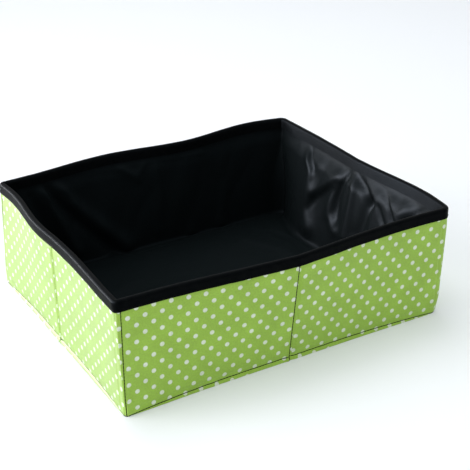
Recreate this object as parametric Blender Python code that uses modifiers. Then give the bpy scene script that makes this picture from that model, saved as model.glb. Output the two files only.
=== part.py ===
"""Foldable fabric litter tray: a soft open box that collapses like a gusseted bag.

The box stands on Z = 0, centred on X = 0 and Y = 0, with its long front wall facing -Y.
Each short wall folds inwards at its middle, and the back wall slides up to the front wall.
Metres throughout.
"""

from __future__ import annotations

import math
from collections.abc import Callable
from dataclasses import dataclass

import bmesh
import bpy
from mathutils import Matrix, Vector

# Overall sizes of the box, over the printed cloth and the top of the rim tape.
LENGTH = 0.390
WIDTH = 0.325
HEIGHT = 0.130

# Thickness of each layer, from the outside in.
COVER = 0.0008
BOARD = 0.0020
BACKING = 0.0006
LINER = 0.0006
TAPE = 0.0008
BOTTOM = 0.0008

# What every layer keeps from the next one.
GAP = 0.0003

# The fold: corner axes lie inside the outer faces, middle axes just outside them.
CORNER_INSET = 0.0100
FOLD_CLEARANCE = 0.0006

# Boards stop short of every edge that folds or is sewn.
BOARD_FROM_MIDDLE = 0.0045
BOARD_FROM_FLOOR = 0.0085
BOARD_FROM_RIM = 0.0015
BOARD_EDGE_RADIUS = 0.0004

# Backing cloth reaches a little past its board.
BACKING_PAST_BOARD = 0.0040

# The tape folded over the rim.
TAPE_DROP = 0.0105
TAPE_SHOULDER = 0.0014

# How far the long walls are pushed out of line by their springy boards.
FRONT_RIM_BOW = 0.0115
FRONT_FOOT_BOW = -0.0045
BACK_HALF_BOW = 0.0050
BACK_SEAM_BOW = 0.0048

# How the loose liner hangs: how far in its foot lies from each wall, and its pleats.
SIDE_SLACK = 0.0330
BACK_SLACK = 0.0090
FRONT_SLACK = 0.0110
CORNER_SLACK = 0.0130
PLEAT_DEPTH = 0.0085
PLEAT_SPACING = 0.0680
CORNER_RUN = 0.0500
HANG_POWER = 1.35
LINER_SEAM_GAP = 0.0012

# Counts of grid cells.
BOW_COLUMNS = 10
BOW_ROWS = 5
LINER_COLUMNS = 12
LINER_ROWS = 9

# Where the layers start, measured inwards from the wall's outer face.
BOARD_DEPTH = COVER + GAP
BACKING_DEPTH = BOARD_DEPTH + BOARD + GAP
LINER_DEPTH = BACKING_DEPTH + BACKING + GAP
TAPE_INNER_DEPTH = LINER_DEPTH + LINER + GAP + TAPE
TAPE_OUTER_DEPTH = -(GAP + TAPE)

# Levels above the ground.
WALL_FOOT = BOTTOM + GAP
WALL_TOP = HEIGHT - TAPE_SHOULDER - TAPE - GAP
LINER_FOOT = WALL_FOOT + LINER + GAP
TAPE_FOOT = HEIGHT - TAPE_DROP

# Fold axes, in plan.
MIDDLE_OUTSET = GAP + TAPE + FOLD_CLEARANCE
CORNER_X = LENGTH / 2 - CORNER_INSET
CORNER_Y = WIDTH / 2 - CORNER_INSET
MIDDLE_X = LENGTH / 2 + MIDDLE_OUTSET

# Colours as linear RGB, and roughness.
PRINTED_GREEN = (0.270, 0.480, 0.070)
BOARD_GREY = (0.420, 0.410, 0.380)
BACKING_BLACK = (0.020, 0.020, 0.022)
LINER_BLACK = (0.008, 0.009, 0.013)
TAPE_BLACK = (0.012, 0.012, 0.014)
COVER_ROUGHNESS = 0.75
BOARD_ROUGHNESS = 0.60
BACKING_ROUGHNESS = 0.90
LINER_ROUGHNESS = 0.38
TAPE_ROUGHNESS = 0.85


def mix(start: float, end: float, share: float) -> float:
    """The value a share of the way from start to end."""
    return start + (end - start) * share


def ease(share: float) -> float:
    """A smooth step from 0 to 1."""
    inside = min(1.0, max(0.0, share))
    return inside * inside * (3 - 2 * inside)


@dataclass(frozen=True)
class Wall:
    """One side of the box, described in its own frame.

    In that frame the wall looks like the front one: u runs along it from its middle, towards
    +X for the front wall, depth runs inwards and z runs up.
    """

    quarter_turns: int
    half: float
    reach: float
    slack: float
    bow: Callable[[float, float], float]

    def place(self, u: float, depth: float, z: float) -> Vector:
        """The world point at u along the wall, depth inwards of its outer face and height z."""
        local = Vector((u, depth - self.reach - self.bow(u / self.half, z / HEIGHT), z))
        return Matrix.Rotation(self.quarter_turns * math.pi / 2, 3, "Z") @ local


def straight(along: float, up: float) -> float:
    """The short walls stand straight."""
    return 0.0


def front_bow(along: float, up: float) -> float:
    """The front wall is pushed out at its middle, most at the rim."""
    return (1 - abs(along)) * mix(FRONT_FOOT_BOW, FRONT_RIM_BOW, up)


def back_bow(along: float, up: float) -> float:
    """Each half of the back wall bows out between the seam and its corner."""
    belly = BACK_HALF_BOW * math.sin(math.pi * abs(along))
    return up * (belly + BACK_SEAM_BOW * (1 - abs(along)))


FRONT = Wall(0, LENGTH / 2, WIDTH / 2, FRONT_SLACK, front_bow)
RIGHT = Wall(1, WIDTH / 2, LENGTH / 2, SIDE_SLACK, straight)
BACK = Wall(2, LENGTH / 2, WIDTH / 2, BACK_SLACK, back_bow)
LEFT = Wall(3, WIDTH / 2, LENGTH / 2, SIDE_SLACK, straight)


@dataclass(frozen=True)
class Panel:
    """A stretch of wall that moves as one: which wall, and which way from its middle.

    side is -1 or 1 for a half wall, and 0 for a whole one.
    """

    name: str
    wall: Wall
    side: int
    hinge: str

    def along(self, share: float, from_middle: float, from_corner: float) -> float:
        """The place along the wall at a share of the panel, less its margins at either end."""
        outer = self.wall.half - from_corner
        if self.side == 0:
            return mix(-outer, outer, share)
        if self.side < 0:
            return mix(-outer, -from_middle, share)
        return mix(from_middle, outer, share)

    def columns(self, count: int) -> int:
        """Grid cells along the panel, where a half wall has count of them."""
        return 2 * count if self.side == 0 else count


# Cloth pieces: the front wall is one cut, and the others part where the box folds.
CLOTH_PANELS = (
    Panel("front", FRONT, 0, "front"),
    Panel("right_front", RIGHT, -1, "right_front"),
    Panel("right_back", RIGHT, 1, "right_back"),
    Panel("back_right", BACK, -1, "back_right"),
    Panel("back_left", BACK, 1, "back_left"),
    Panel("left_back", LEFT, -1, "left_back"),
    Panel("left_front", LEFT, 1, "left_front"),
)

# Boards: every wall has two, so that the flat pack can be folded in half.
BOARD_PANELS = (
    Panel("front_left", FRONT, -1, "front"),
    Panel("front_right", FRONT, 1, "front"),
) + CLOTH_PANELS[1:]

# Each body's fold axis in plan, with the body that carries it.
HINGES = {
    "front": (None, Vector((0, 0, 0))),
    "right_front": ("front", Vector((CORNER_X, -CORNER_Y, 0))),
    "right_back": ("right_front", Vector((MIDDLE_X, 0, 0))),
    "back_right": ("right_back", Vector((CORNER_X, CORNER_Y, 0))),
    "left_front": ("front", Vector((-CORNER_X, -CORNER_Y, 0))),
    "left_back": ("left_front", Vector((-MIDDLE_X, 0, 0))),
    "back_left": ("left_back", Vector((-CORNER_X, CORNER_Y, 0))),
}


def clear_scene() -> None:
    """Removes what the file opened with."""
    for obj in list(bpy.data.objects):
        bpy.data.objects.remove(obj, do_unlink=True)


def new_collection(name: str) -> bpy.types.Collection:
    """A collection linked to the scene."""
    collection = bpy.data.collections.new(name)
    bpy.context.scene.collection.children.link(collection)
    return collection


def new_material(
    name: str, colour: tuple[float, float, float], roughness: float
) -> bpy.types.Material:
    """A plain Principled material."""
    material = bpy.data.materials.new(name)
    material.use_nodes = True
    shader = material.node_tree.nodes["Principled BSDF"]
    shader.inputs["Base Color"].default_value = (*colour, 1)
    shader.inputs["Roughness"].default_value = roughness
    shader.inputs["Metallic"].default_value = 0
    return material


class Tray:
    """Builds the pieces and hangs each one on its fold axis."""

    def __init__(self) -> None:
        self.parts = new_collection("foldable_litter_box")
        self.hinges: dict[str, bpy.types.Object] = {}
        for name, (carrier, place) in HINGES.items():
            empty = bpy.data.objects.new(f"{name}_axis", None)
            empty.empty_display_size = CORNER_INSET
            self.parts.objects.link(empty)
            if carrier:
                empty.parent = self.hinges[carrier]
                empty.location = place - HINGES[carrier][1]
            self.hinges[name] = empty

    def sheet(
        self,
        name: str,
        hinge: str,
        cells: tuple[int, int],
        point: Callable[[float, float], Vector],
        thickness: float,
        finish: tuple[tuple[float, float, float], float],
        edge_radius: float = 0.0,
    ) -> None:
        """A sheet whose outer face is point(share along, share up), thickened inwards."""
        grid = bmesh.new()
        bmesh.ops.create_grid(grid, x_segments=cells[0], y_segments=cells[1], size=1)
        for vert in grid.verts:
            vert.co = point((vert.co.x + 1) / 2, (vert.co.y + 1) / 2)
        bmesh.ops.translate(grid, vec=-HINGES[hinge][1], verts=grid.verts)
        mesh = bpy.data.meshes.new(name)
        grid.to_mesh(mesh)
        grid.free()
        mesh.materials.append(new_material(name, *finish))
        mesh.shade_smooth()
        obj = bpy.data.objects.new(name, mesh)
        obj.parent = self.hinges[hinge]
        self.parts.objects.link(obj)
        solidify = obj.modifiers.new("thickness", "SOLIDIFY")
        solidify.thickness = thickness
        solidify.offset = -1
        solidify.use_even_offset = True
        if edge_radius:
            bevel = obj.modifiers.new("edges", "BEVEL")
            bevel.width = edge_radius
            bevel.segments = 1
            bevel.limit_method = "ANGLE"

    def cover(self, panel: Panel) -> None:
        """Printed cloth. The long walls reach the corners, and the short ones meet them."""
        long_wall = panel.wall in (FRONT, BACK)
        from_corner = 0 if long_wall else COVER + GAP

        def point(share: float, up: float) -> Vector:
            u = panel.along(share, GAP / 2, from_corner)
            return panel.wall.place(u, 0, mix(WALL_FOOT, WALL_TOP, up))

        cells = (panel.columns(BOW_COLUMNS), BOW_ROWS) if long_wall else (1, 1)
        finish = (PRINTED_GREEN, COVER_ROUGHNESS)
        self.sheet(f"cover_{panel.name}", panel.hinge, cells, point, COVER, finish)

    def board(self, panel: Panel) -> None:
        """The stiff board between cover and backing, clear of every fold and seam."""

        def point(share: float, up: float) -> Vector:
            u = panel.along(share, BOARD_FROM_MIDDLE, CORNER_INSET)
            z = mix(WALL_FOOT + BOARD_FROM_FLOOR, WALL_TOP - BOARD_FROM_RIM, up)
            return panel.wall.place(u, BOARD_DEPTH, z)

        long_wall = panel.wall in (FRONT, BACK)
        cells = (BOW_COLUMNS, BOW_ROWS) if long_wall else (1, 1)
        finish = (BOARD_GREY, BOARD_ROUGHNESS)
        name = f"board_{panel.name}"
        self.sheet(name, panel.hinge, cells, point, BOARD, finish, BOARD_EDGE_RADIUS)

    def backing(self, panel: Panel) -> None:
        """The inner cloth that closes the board's pocket."""

        def point(share: float, up: float) -> Vector:
            u = panel.along(share, GAP / 2, CORNER_INSET - BACKING_PAST_BOARD)
            return panel.wall.place(u, BACKING_DEPTH, mix(WALL_FOOT, WALL_TOP, up))

        long_wall = panel.wall in (FRONT, BACK)
        cells = (panel.columns(BOW_COLUMNS), BOW_ROWS) if long_wall else (1, 1)
        finish = (BACKING_BLACK, BACKING_ROUGHNESS)
        self.sheet(f"backing_{panel.name}", panel.hinge, cells, point, BACKING, finish)

    def tape(self, panel: Panel) -> None:
        """Binding folded over the rim: up the outside, across, and down the inside."""
        long_wall = panel.wall in (FRONT, BACK)
        mitre = 0 if long_wall else TAPE + GAP
        outline = (
            (TAPE_OUTER_DEPTH, TAPE_FOOT),
            (TAPE_OUTER_DEPTH, HEIGHT - TAPE_SHOULDER),
            (TAPE_OUTER_DEPTH + TAPE_SHOULDER, HEIGHT),
            (TAPE_INNER_DEPTH - TAPE_SHOULDER, HEIGHT),
            (TAPE_INNER_DEPTH, HEIGHT - TAPE_SHOULDER),
            (TAPE_INNER_DEPTH, TAPE_FOOT),
        )
        steps = len(outline) - 1

        def point(share: float, up: float) -> Vector:
            depth, z = outline[round(up * steps)]
            u = panel.along(share, GAP / 2, depth + mitre)
            return panel.wall.place(u, depth, z)

        cells = (panel.columns(BOW_COLUMNS) if long_wall else 1, steps)
        finish = (TAPE_BLACK, TAPE_ROUGHNESS)
        self.sheet(f"rim_tape_{panel.name}", panel.hinge, cells, point, TAPE, finish)

    def liner_wall(self, panel: Panel) -> None:
        """Loose liner: held flat under the tape, then slumping in with pleats to the floor."""
        wall = panel.wall
        long_wall = wall in (FRONT, BACK)
        held = TAPE_FOOT - GAP

        def hang_depth(u: float, hang: float, hem: float) -> float:
            clear = ease((wall.half - abs(u) - hem) / CORNER_RUN)
            pleat = (1 - math.cos(2 * math.pi * u / PLEAT_SPACING)) / 2
            fall = mix(CORNER_SLACK, wall.slack, clear) * hang**HANG_POWER
            return LINER_DEPTH + fall + clear * pleat * PLEAT_DEPTH * math.sin(math.pi * hang)

        def point(share: float, up: float) -> Vector:
            row = (1 - up) * LINER_ROWS
            hang = max(0.0, (row - 1) / (LINER_ROWS - 1))
            z = mix(WALL_TOP, held, row) if row < 1 else mix(held, LINER_FOOT, hang)
            hem = LINER_DEPTH + CORNER_SLACK * hang**HANG_POWER
            seam = 0 if long_wall else LINER + LINER_SEAM_GAP
            u = panel.along(share, LINER_SEAM_GAP / 2, hem + seam)
            return wall.place(u, hang_depth(u, hang, hem), z)

        cells = (panel.columns(LINER_COLUMNS), LINER_ROWS)
        finish = (LINER_BLACK, LINER_ROUGHNESS)
        self.sheet(f"liner_{panel.name}", panel.hinge, cells, point, LINER, finish)

    def floor_sheet(
        self,
        name: str,
        margin: float,
        top: float,
        thickness: float,
        finish: tuple[tuple[float, float, float], float],
    ) -> None:
        """A flat cloth that follows the feet of the walls, margin inside their outer faces."""

        def point(share: float, across: float) -> Vector:
            x = mix(margin - LENGTH / 2, LENGTH / 2 - margin, share)
            front = FRONT.place(x, margin, 0)
            back = BACK.place(-x, margin, 0)
            place = front.lerp(back, across)
            place.z = top
            return place

        self.sheet(name, "front", (2 * BOW_COLUMNS, 1), point, thickness, finish)

    def build(self) -> None:
        """Makes every piece."""
        for panel in CLOTH_PANELS:
            self.cover(panel)
            self.backing(panel)
            self.tape(panel)
            self.liner_wall(panel)
        for panel in BOARD_PANELS:
            self.board(panel)
        bottom_finish = (PRINTED_GREEN, COVER_ROUGHNESS)
        self.floor_sheet("bottom_cloth", 0, BOTTOM, BOTTOM, bottom_finish)
        liner_finish = (LINER_BLACK, LINER_ROUGHNESS)
        liner_top = WALL_FOOT + LINER
        self.floor_sheet("liner_floor", LINER_DEPTH, liner_top, LINER, liner_finish)


clear_scene()
Tray().build()
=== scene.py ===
"""Dresses the foldable fabric litter tray: dotted canvas walls over boards, black tape and liner.

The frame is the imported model's: +X along the long walls, +Y from the front wall to the back one,
+Z up, in metres, with the ground at 0.
"""

from __future__ import annotations

import logging
import math
from collections.abc import Callable, Sequence
from dataclasses import dataclass
from enum import Enum

import bmesh
import bpy
from mathutils import Matrix, Vector, noise


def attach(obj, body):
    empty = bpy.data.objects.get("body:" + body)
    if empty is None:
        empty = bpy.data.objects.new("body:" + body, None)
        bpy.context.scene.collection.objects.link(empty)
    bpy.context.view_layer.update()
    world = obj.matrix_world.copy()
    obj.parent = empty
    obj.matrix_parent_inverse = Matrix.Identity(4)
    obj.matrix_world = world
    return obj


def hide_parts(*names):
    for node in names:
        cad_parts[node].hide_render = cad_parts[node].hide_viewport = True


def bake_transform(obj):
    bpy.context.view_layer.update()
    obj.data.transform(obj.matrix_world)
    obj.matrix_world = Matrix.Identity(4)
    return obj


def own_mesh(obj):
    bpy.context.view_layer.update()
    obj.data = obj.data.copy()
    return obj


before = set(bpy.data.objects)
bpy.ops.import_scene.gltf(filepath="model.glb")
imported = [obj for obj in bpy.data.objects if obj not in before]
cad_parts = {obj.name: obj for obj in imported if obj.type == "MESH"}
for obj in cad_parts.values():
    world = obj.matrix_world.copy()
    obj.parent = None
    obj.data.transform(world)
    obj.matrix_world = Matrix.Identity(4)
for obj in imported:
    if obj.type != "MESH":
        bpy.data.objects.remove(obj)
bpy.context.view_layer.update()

log = logging.getLogger("tray")

NEARLY = 1e-6
MILLIMETRE = 1e-3
PRINT_MAP = "Print"
# The colour inputs of a mix node, which has inputs of the same names for numbers and vectors.
MIX_A, MIX_B = 6, 7
# At this scale a wave texture repeats once in a metre.
WAVE_SCALE = 2 * math.pi / 20
# How far woven threads stray from straight lines.
WEAVE_WAVER = 0.4
# Each kind of unevenness reads its own layer of the noise, so that no two waver together.
CLOTH_NOISE, DRAPE_NOISE, GATHER_NOISE, PUCKER_NOISE, FLOOR_NOISE, TAPE_NOISE = 1, 3, 4, 5, 7, 9
# A fold is too low to count beyond so many of its widths.
FOLD_REACH = 3


def mix(start: float, end: float, share: float) -> float:
    """The value a share of the way from start to end."""
    return start + (end - start) * share


def ease(share: float) -> float:
    """A smooth step from 0 to 1."""
    inside = min(1.0, max(0.0, share))
    return inside * inside * (3 - 2 * inside)


def bell(offset: float, width: float) -> float:
    """A bump of height 1 that dies away within about twice its width."""
    return math.exp(-((offset / width) ** 2))


def ripple(u: float, z: float, wave: tuple[float, float], layer: float) -> float:
    """Smooth noise from about -1 to 1 whose features are wave metres long and high."""
    return noise.noise(Vector((u / wave[0], z / wave[1], layer)))


class Side(Enum):
    """The walls, counter-clockwise seen from above, numbered by quarter turns from the front."""

    FRONT = 0
    RIGHT = 1
    BACK = 2
    LEFT = 3

    @property
    def long(self) -> bool:
        """Whether it is one of the two long walls."""
        return self in (Side.FRONT, Side.BACK)


@dataclass(frozen=True)
class Stop:
    """A place on the ring of walls: which wall, and how far along it from its middle."""

    side: Side
    u: float


@dataclass(frozen=True)
class Bow:
    """A wall's push out of line at one height: at its middle seam, and each half's belly.

    The first of each pair is for the half to the left of the seam, seen from outside.
    """

    seam: float = 0.0
    belly: tuple[float, float] = (0.0, 0.0)
    skew: tuple[float, float] = (0.0, 0.0)

    def push(self, u: float, along: float) -> float:
        """How far the bow pushes the wall at a place.

        Args:
            u: The place along the wall; its sign says which half.
            along: Its distance from the seam, as a share of the half wall.

        Returns:
            The push, outwards.
        """
        half = int(u > 0)
        belly = self.belly[half] * math.sin(math.pi * along)
        skew = self.skew[half] * math.sin(2 * math.pi * along)
        return self.seam * (1 - along) + belly + skew


@dataclass(frozen=True)
class Corner:
    """How far a corner has moved in plan, at the ground and at the rim, and how round it is.

    The radii are those at the foot, on the wall above it and at the rim.
    """

    foot: tuple[float, float]
    rim: tuple[float, float]
    radii: tuple[float, float, float] = (0.0090, 0.0055, 0.0055)


# The soft box's bows and leans, fitted to its edges in the photograph; those of its far feet,
# which the photograph hides, are small guesses.
BOWS = {
    Side.FRONT: (
        Bow(-0.0036, (-0.0018, -0.0015)),
        Bow(0.0117, (-0.0021, -0.0044), (0.0008, 0.0008)),
    ),
    Side.RIGHT: (Bow(), Bow(-0.0017, (0.0056, 0.0016), (-0.0018, 0.0001))),
    Side.BACK: (Bow(), Bow(0.0048, (0.0030, 0.0065), (-0.0061, 0.0030))),
    Side.LEFT: (
        Bow(-0.0022, (-0.0012, -0.0009)),
        Bow(-0.0001, (-0.0003, -0.0015), (0.0026, -0.0006)),
    ),
}
# Each wall's left corner, seen from outside.
CORNERS = {
    Side.FRONT: Corner((0.0005, -0.0012), (-0.0021, 0.0012), (0.0050, 0.0020, 0.0055)),
    Side.RIGHT: Corner((0.0005, 0.0014), (0.0035, -0.0027), (0.0120, 0.0060, 0.0085)),
    Side.BACK: Corner((0.0, 0.0), (-0.0024, -0.0004)),
    Side.LEFT: Corner((-0.0018, 0.0038), (0.0021, -0.0019)),
}


@dataclass(frozen=True)
class Outline:
    """The box over its printed cloth, with the walls' bows and the rounded corners."""

    length: float = 0.390
    width: float = 0.325
    height: float = 0.130
    foot_rise: float = 0.0220
    rim_rise: float = 0.0300
    least_radius: float = 0.0008

    def half(self, side: Side) -> float:
        """Half the wall's length."""
        return (self.length if side.long else self.width) / 2

    def reach(self, side: Side) -> float:
        """How far the wall's outer face is from the middle of the box."""
        return (self.width if side.long else self.length) / 2

    def radius(self, stop: Stop, z: float) -> float:
        """The radius of the corner that a stop is nearer to.

        Args:
            stop: The place on the ring.
            z: The height.

        Returns:
            The cloth's outer radius there.
        """
        corner = Side((stop.side.value + int(stop.u > 0)) % len(Side))
        foot, wall, rim = CORNERS[corner].radii
        low = mix(foot, wall, ease(z / self.foot_rise))
        return mix(low, rim, ease((z - self.height) / self.rim_rise + 1))

    def bow(self, side: Side, u: float, z: float) -> float:
        """How far the springy boards push a wall out of line.

        Args:
            side: The wall.
            u: The place along it.
            z: The height.

        Returns:
            The push, outwards.
        """
        along = min(1.0, abs(u) / self.half(side))
        foot, rim = BOWS[side]
        return mix(foot.push(u, along), rim.push(u, along), z / self.height)

    def lean(self, place: Vector) -> Vector:
        """How far the four corners' leans carry a place.

        Args:
            place: A point on or in the upright box.

        Returns:
            Its move.
        """
        up = place.z / self.height
        right = place.x / self.length + 0.5
        back = place.y / self.width + 0.5
        weights = {
            Side.FRONT: (1 - right) * (1 - back),
            Side.RIGHT: right * (1 - back),
            Side.BACK: right * back,
            Side.LEFT: (1 - right) * back,
        }
        carried = Vector((0.0, 0.0, 0.0))
        for side, weight in weights.items():
            foot, rim = CORNERS[side].foot, CORNERS[side].rim
            carried.x += weight * mix(foot[0], rim[0], up)
            carried.y += weight * mix(foot[1], rim[1], up)
        return carried

    def place(self, stop: Stop, depth: float, z: float, radius: float | None = None) -> Vector:
        """The point at a stop, in from the outer face by a depth.

        Args:
            stop: The place on the ring.
            depth: How far in; negative is proud of the cloth.
            z: The height.
            radius: The corner's radius, where it isn't the cloth's own.

        Returns:
            The point in the frame.
        """
        half = self.half(stop.side)
        outer = radius or self.radius(stop, z)
        inner = max(outer - depth, self.least_radius)
        centre = half - depth - inner
        straight = half - outer
        along = stop.u * centre / straight
        into = depth
        if abs(stop.u) > straight:
            angle = (abs(stop.u) - straight) / outer * math.pi / 4
            along = math.copysign(centre + inner * math.sin(angle), stop.u)
            into = depth + inner * (1 - math.cos(angle))
        push = self.bow(stop.side, stop.u, z)
        flat = Vector((along, into - self.reach(stop.side) - push, z))
        turned = Matrix.Rotation(stop.side.value * math.pi / 2, 3, "Z") @ flat
        return turned + self.lean(turned)


BOX = Outline()


@dataclass(frozen=True)
class Layers:
    """Depths inwards from the printed cloth's outer face, and levels, as the solids have them."""

    cover: float = 0.0008
    backing: float = 0.0006
    liner: float = 0.0006
    tape: float = 0.0008
    bottom: float = 0.0008
    backing_depth: float = 0.0034
    liner_depth: float = 0.0043
    tape_inner_depth: float = 0.0060
    tape_outer_depth: float = -0.0011
    wall_top: float = 0.1275
    tape_foot: float = 0.1181
    liner_foot: float = 0.0020


LAYERS = Layers()


@dataclass(frozen=True)
class Half:
    """Half a wall, with one board: before the wall's middle or past it, seen from outside."""

    name: str
    side: Side
    past: bool

    @property
    def body(self) -> str:
        """The body that it moves with; the front wall is one."""
        return "front" if self.side is Side.FRONT else self.name


# Counter-clockwise, two to a wall.
HALVES = (
    Half("front_left", Side.FRONT, False),
    Half("front_right", Side.FRONT, True),
    Half("right_front", Side.RIGHT, False),
    Half("right_back", Side.RIGHT, True),
    Half("back_right", Side.BACK, False),
    Half("back_left", Side.BACK, True),
    Half("left_back", Side.LEFT, False),
    Half("left_front", Side.LEFT, True),
)


@dataclass(frozen=True)
class Stretch:
    """A length of the ring made as one piece.

    It rides on one body or lies between two, names two boards, and stands for some walls' solids.
    """

    name: str
    first: Stop
    last: Stop
    bodies: tuple[str, ...]
    boards: tuple[str, str]
    nodes: tuple[str, ...] = ()
    bend: tuple[tuple[float, float, float], tuple[float, float, float]] | None = None

    def holds(self, stop: Stop) -> bool:
        """Whether a stop lies on this stretch.

        Args:
            stop: The place on the ring.

        Returns:
            True if it does.
        """
        if self.first.side is self.last.side:
            return stop.side is self.first.side and self.first.u <= stop.u <= self.last.u
        if stop.side is self.first.side:
            return stop.u >= self.first.u
        return stop.side is self.last.side and stop.u <= self.last.u

    def mount(self, piece: bpy.types.Object) -> None:
        """Rides a piece on the stretch's body; one that spans two bodies only has its place baked.

        Args:
            piece: The piece.
        """
        if self.bend:
            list(self.bodies)
            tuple(self.bend[0])
            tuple(self.bend[1])
            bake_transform(piece)
        else:
            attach(piece, self.bodies[0])


@dataclass(frozen=True)
class Ring:
    """Cuts the ring of walls into eight stretches, clear of every place where cloth bends."""

    corner_bend: float = 0.0140
    middle_bend: float = 0.0045
    long_split: float = 0.1650
    short_split: float = 0.0810

    def split(self, side: Side) -> float:
        """How far from a wall's middle its stretch is cut."""
        return self.long_split if side.long else self.short_split

    def stretches(self) -> tuple[Stretch, ...]:
        """Works out the stretches.

        Returns:
            The stretches, counter-clockwise from the front wall.
        """
        x = BOX.length / 2
        y = BOX.width / 2
        turn = self.corner_bend
        fold = self.middle_bend
        # Each one's name, bodies and bend. A short wall's cloth runs from its back half to its
        # front one on the right and from the front one to the back one on the left.
        plan = (
            ("front", ("front",), None),
            ("front_right_corner", ("front", "right_front"), ((x - turn, -y, 0), (x, turn - y, 0))),
            ("right_middle", ("right_back", "right_front"), ((x, fold, 0), (x, -fold, 0))),
            ("back_right_corner", ("right_back", "back_right"), ((x, y - turn, 0), (x - turn, y, 0))),
            ("back", ("back_right",), None),
            ("back_left_corner", ("back_left", "left_back"), ((turn - x, y, 0), (-x, y - turn, 0))),
            ("left_middle", ("left_front", "left_back"), ((-x, -fold, 0), (-x, fold, 0))),
            ("front_left_corner", ("left_front", "front"), ((-x, turn - y, 0), (turn - x, -y, 0))),
        )
        found = []
        for place, (name, bodies, bend) in enumerate(plan):
            near, far = HALVES[place], HALVES[(place + 1) % len(HALVES)]
            one_wall = near.side is far.side
            way = -1 if one_wall else 1
            first = Stop(near.side, way * self.split(near.side))
            last = Stop(far.side, -way * self.split(far.side))
            boards = (f"board_{near.name}", f"board_{far.name}")
            nodes = tuple(dict.fromkeys((near.body, far.body))) if one_wall else ()
            found.append(Stretch(name, first, last, bodies, boards, nodes, bend))
        return tuple(found)


RING = Ring()
STRETCHES = RING.stretches()


@dataclass(frozen=True)
class Pace:
    """How closely a sheet's columns stand: finest where the cloth turns or is sewn."""

    plain: float
    corner: float
    middle: float
    corner_run: float = 0.0130
    middle_run: float = 0.0080

    def places(self, side: Side) -> list[float]:
        """Every column's place along a wall.

        Args:
            side: The wall.

        Returns:
            The places, from the wall's left end seen from outside.
        """
        half = BOX.half(side)
        split = RING.split(side)
        turn = half - self.corner_run
        marks = (
            (-half, self.corner),
            (-turn, self.plain),
            (-split, self.plain),
            (-self.middle_run, self.middle),
            (0.0, self.middle),
            (self.middle_run, self.plain),
            (split, self.plain),
            (turn, self.corner),
            (half, self.corner),
        )
        found = []
        for (start, step), (end, _) in zip(marks, marks[1:]):
            cells = math.ceil((end - start) / step - NEARLY)
            found += [mix(start, end, cell / cells) for cell in range(cells)]
        return found + [half]

    def walk(self, stretch: Stretch) -> list[Stop]:
        """The columns of a stretch.

        Args:
            stretch: The length of the ring.

        Returns:
            Its stops in order, with a corner's shared one once.
        """
        first, last = stretch.first, stretch.last
        near = [Stop(first.side, u) for u in self.places(first.side)]
        kept = [stop for stop in near if stop.u >= first.u - NEARLY]
        if first.side is last.side:
            return [stop for stop in kept if stop.u <= last.u + NEARLY]
        far = [Stop(last.side, u) for u in self.places(last.side)[1:]]
        return kept + [stop for stop in far if stop.u <= last.u + NEARLY]


def levels(marks: Sequence[tuple[float, float]], top: float) -> list[float]:
    """Heights of a sheet's rows.

    Args:
        marks: Where each spacing starts, and the spacing.
        top: The last height.

    Returns:
        The heights from the first mark to the top.
    """
    found = []
    ends = [start for start, _ in marks[1:]] + [top]
    for (start, step), end in zip(marks, ends):
        cells = math.ceil((end - start) / step - NEARLY)
        found += [mix(start, end, cell / cells) for cell in range(cells)]
    return found + [top]


def new_piece(name: str, shape: bmesh.types.BMesh, finish: Finish) -> bpy.types.Object:
    """Turns a bmesh into a linked object with one finish.

    Args:
        name: The piece's name.
        shape: Its mesh, which is freed.
        finish: Its finish.

    Returns:
        The piece.
    """
    mesh = bpy.data.meshes.new(name)
    shape.to_mesh(mesh)
    shape.free()
    mesh.materials.append(finish.material())
    piece = bpy.data.objects.new(name, mesh)
    bpy.context.scene.collection.objects.link(piece)
    return piece


def lay_grid(
    columns: Sequence[Stop],
    rows: Sequence[float],
    point: Callable[[Stop, float], Vector],
    print_at: Callable[[Stop, float], tuple[float, float]],
) -> bmesh.types.BMesh:
    """A sheet laid over stops and rows, with its print map in metres.

    Args:
        columns: The stops along the ring.
        rows: The value that each row has.
        point: Gives the place of a stop and row.
        print_at: Gives the print map of a stop and row.

    Returns:
        The sheet, its outline marked sharp so that the rim doesn't bend the shading.
    """
    across = len(columns) - 1
    up = len(rows) - 1
    shape = bmesh.new()
    bmesh.ops.create_grid(shape, x_segments=across, y_segments=up, size=1)
    cells = {}
    for vert in shape.verts:
        column = round((vert.co.x + 1) / 2 * across)
        row = round((vert.co.y + 1) / 2 * up)
        cells[vert] = (column, row)
    uv = shape.loops.layers.uv.new(PRINT_MAP)
    for face in shape.faces:
        face.smooth = True
        middle = sum(cells[vert][0] for vert in face.verts) / len(face.verts)
        near, far = columns[int(middle)], columns[int(middle) + 1]
        for loop in face.loops:
            column, row = cells[loop.vert]
            stop = near if column < middle else far
            if near.side is not far.side and stop is near:
                stop = Stop(far.side, -BOX.half(far.side))
            inwards = Stop(stop.side, stop.u + math.copysign(NEARLY, middle - column))
            loop[uv].uv = print_at(inwards, rows[row])
    for vert, (column, row) in cells.items():
        vert.co = point(columns[column], rows[row])
    for edge in shape.edges:
        edge.smooth = not edge.is_boundary
    return shape


def thicken(piece: bpy.types.Object, thickness: float) -> None:
    """Gives a sheet its thickness, inwards from its outer face.

    Args:
        piece: The sheet.
        thickness: How thick it is.
    """
    solidify = piece.modifiers.new("thickness", "SOLIDIFY")
    solidify.thickness = thickness
    solidify.offset = -1


def linear(code: str) -> tuple[float, float, float, float]:
    """Turns an sRGB colour to linear.

    Args:
        code: The colour in hex.

    Returns:
        Its linear red, green and blue, and an alpha of 1.
    """
    shares = [int(code[place : place + 2], 16) / 255 for place in (1, 3, 5)]
    low, toe, gain, power = 0.04045, 12.92, 1.055, 2.4
    tones = [s / toe if s <= low else ((s + gain - 1) / gain) ** power for s in shares]
    return (tones[0], tones[1], tones[2], 1.0)


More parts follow.
